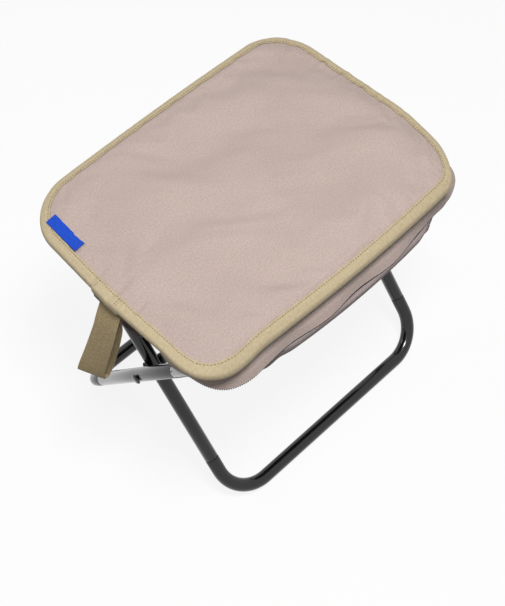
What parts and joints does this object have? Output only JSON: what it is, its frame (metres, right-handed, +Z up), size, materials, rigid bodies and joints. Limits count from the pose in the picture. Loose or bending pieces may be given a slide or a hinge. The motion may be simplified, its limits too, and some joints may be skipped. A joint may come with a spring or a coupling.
{
  "type": "folding stool",
  "caption": "Folding stool with crossed steel tube frames, an insulated cooler bag slung between the rails, a padded zip lid as the seat and a webbing carry loop.",
  "frame": {"origin": "on the floor, under the middle of the stool's whole extent with the carry loop included", "axes": "+X runs along the rails and the seat's long edges, away from the carry loop; +Y runs from the zip lid's front edge to its hinge at the back; +Z is up"},
  "size_m": [0.4228, 0.3066, 0.3342],
  "materials": {
    "black_tube": "glossy black powder coat on steel tube",
    "rivet_steel": "black domed rivet, glossy",
    "zip_metal": "plated, slightly worn",
    "black_plastic": "satin moulded plastic",
    "coil_plastic": "black nylon coil",
    "board_plastic": "matt stiffening board",
    "lid_cloth": "fine plain-weave polyester, warm grey",
    "bag_cloth": "plain-weave polyester, darker grey",
    "binding_tape": "khaki woven binding tape",
    "webbing": "khaki twill webbing",
    "label_weave": "bare blue woven tag",
    "foil_lining": "silvery foil-faced lining",
    "foam": "closed-cell foam sheet"
  },
  "bodies": {
    "frame_a": {"foot_bow_a": "black_tube", "top_bow_a": "black_tube", "side_tube_a_left": "black_tube", "side_tube_a_right": "black_tube", "back_rail_sleeve": "lid_cloth", "lid_hinge_strip": "lid_cloth", "bag_floor": "bag_cloth", "bag_front": "bag_cloth", "bag_back": "bag_cloth", "bag_end_left": "bag_cloth", "bag_end_right": "bag_cloth", "bag_insulation": "foam", "bag_liner": "foil_lining", "base_board": "board_plastic", "bag_rim_binding": "binding_tape"},
    "frame_b": {"foot_bow_b": "black_tube", "top_bow_b": "black_tube", "side_tube_b_left": "black_tube", "side_tube_b_right": "black_tube", "front_rail_sleeve": "lid_cloth", "rivet_left": "rivet_steel", "rivet_right": "rivet_steel", "pivot_washer_left": "black_plastic", "pivot_washer_right": "black_plastic", "cap_nut_left": "black_plastic", "cap_nut_right": "black_plastic"},
    "lid": {"lid_cover": "lid_cloth", "lid_pad": "foam", "lid_lining": "foil_lining", "lid_binding": "binding_tape", "side_label": "label_weave"},
    "lid_front": {"lid_skirt": "lid_cloth", "lid_zip_coil": "coil_plastic"},
    "strap_anchor": {"strap_tab": "webbing"},
    "strap": {"carry_loop": "webbing"},
    "zip_end": {"zip_end_tab": "lid_cloth"},
    "zip_slider": {"zip_slider": "zip_metal"},
    "zip_pull": {"zip_pull": "zip_metal"}
  },
  "joints": [
    {"name": "fold", "type": "hinge", "parent": "frame_a", "child": "frame_b", "pos_m": [0.02255, -0.00334, 0.161], "axis": [-1, 0, 0], "range_deg": [0, 65], "deforming": ["bag_floor", "bag_front", "bag_back", "bag_end_left", "bag_end_right", "bag_insulation", "bag_liner", "base_board", "bag_rim_binding"]},
    {"name": "lid_open", "type": "hinge", "parent": "frame_a", "child": "lid", "pos_m": [0.02255, 0.13065, 0.3145], "axis": [-1, 0, 0], "range_deg": [0, 100]},
    {"name": "lid_fold", "type": "hinge", "parent": "lid", "child": "lid_front", "pos_m": [0.02255, -0.00334, 0.161], "axis": [-1, 0, 0], "range_deg": [0, 65], "deforming": ["lid_cover", "lid_pad", "lid_lining", "lid_binding", "side_label", "lid_skirt", "lid_zip_coil"]},
    {"name": "strap_shift", "type": "slide", "parent": "lid", "child": "strap_anchor", "axis": [0, 0.9629, -0.2697], "range_m": [0, 0.0853]},
    {"name": "strap_swing", "type": "hinge", "parent": "strap_anchor", "child": "strap", "pos_m": [-0.1736, -0.00634, 0.3098], "axis": [0, 1, 0], "range_deg": [0, 60]},
    {"name": "zip_end_turn", "type": "hinge", "parent": "lid", "child": "zip_end", "pos_m": [0.02255, -0.00334, 0.161], "axis": [-1, 0, 0], "range_deg": [0, 4.15]},
    {"name": "zip_slide", "type": "slide", "parent": "zip_end", "child": "zip_slider", "axis": [0, -1, 0], "range_m": [0, 0.098]},
    {"name": "pull_swing", "type": "hinge", "parent": "zip_slider", "child": "zip_pull", "pos_m": [0.20575, 0.08066, 0.2943], "axis": [0, -1, 0], "range_deg": [0, 110]}
  ],
  "couplings": [
    {"joint": "lid_fold", "follows": "fold", "ratio": 1},
    {"joint": "strap_shift", "follows": "fold", "m_per_rad": 0.07513},
    {"joint": "zip_end_turn", "follows": "fold", "ratio": 0.0637}
  ]
}
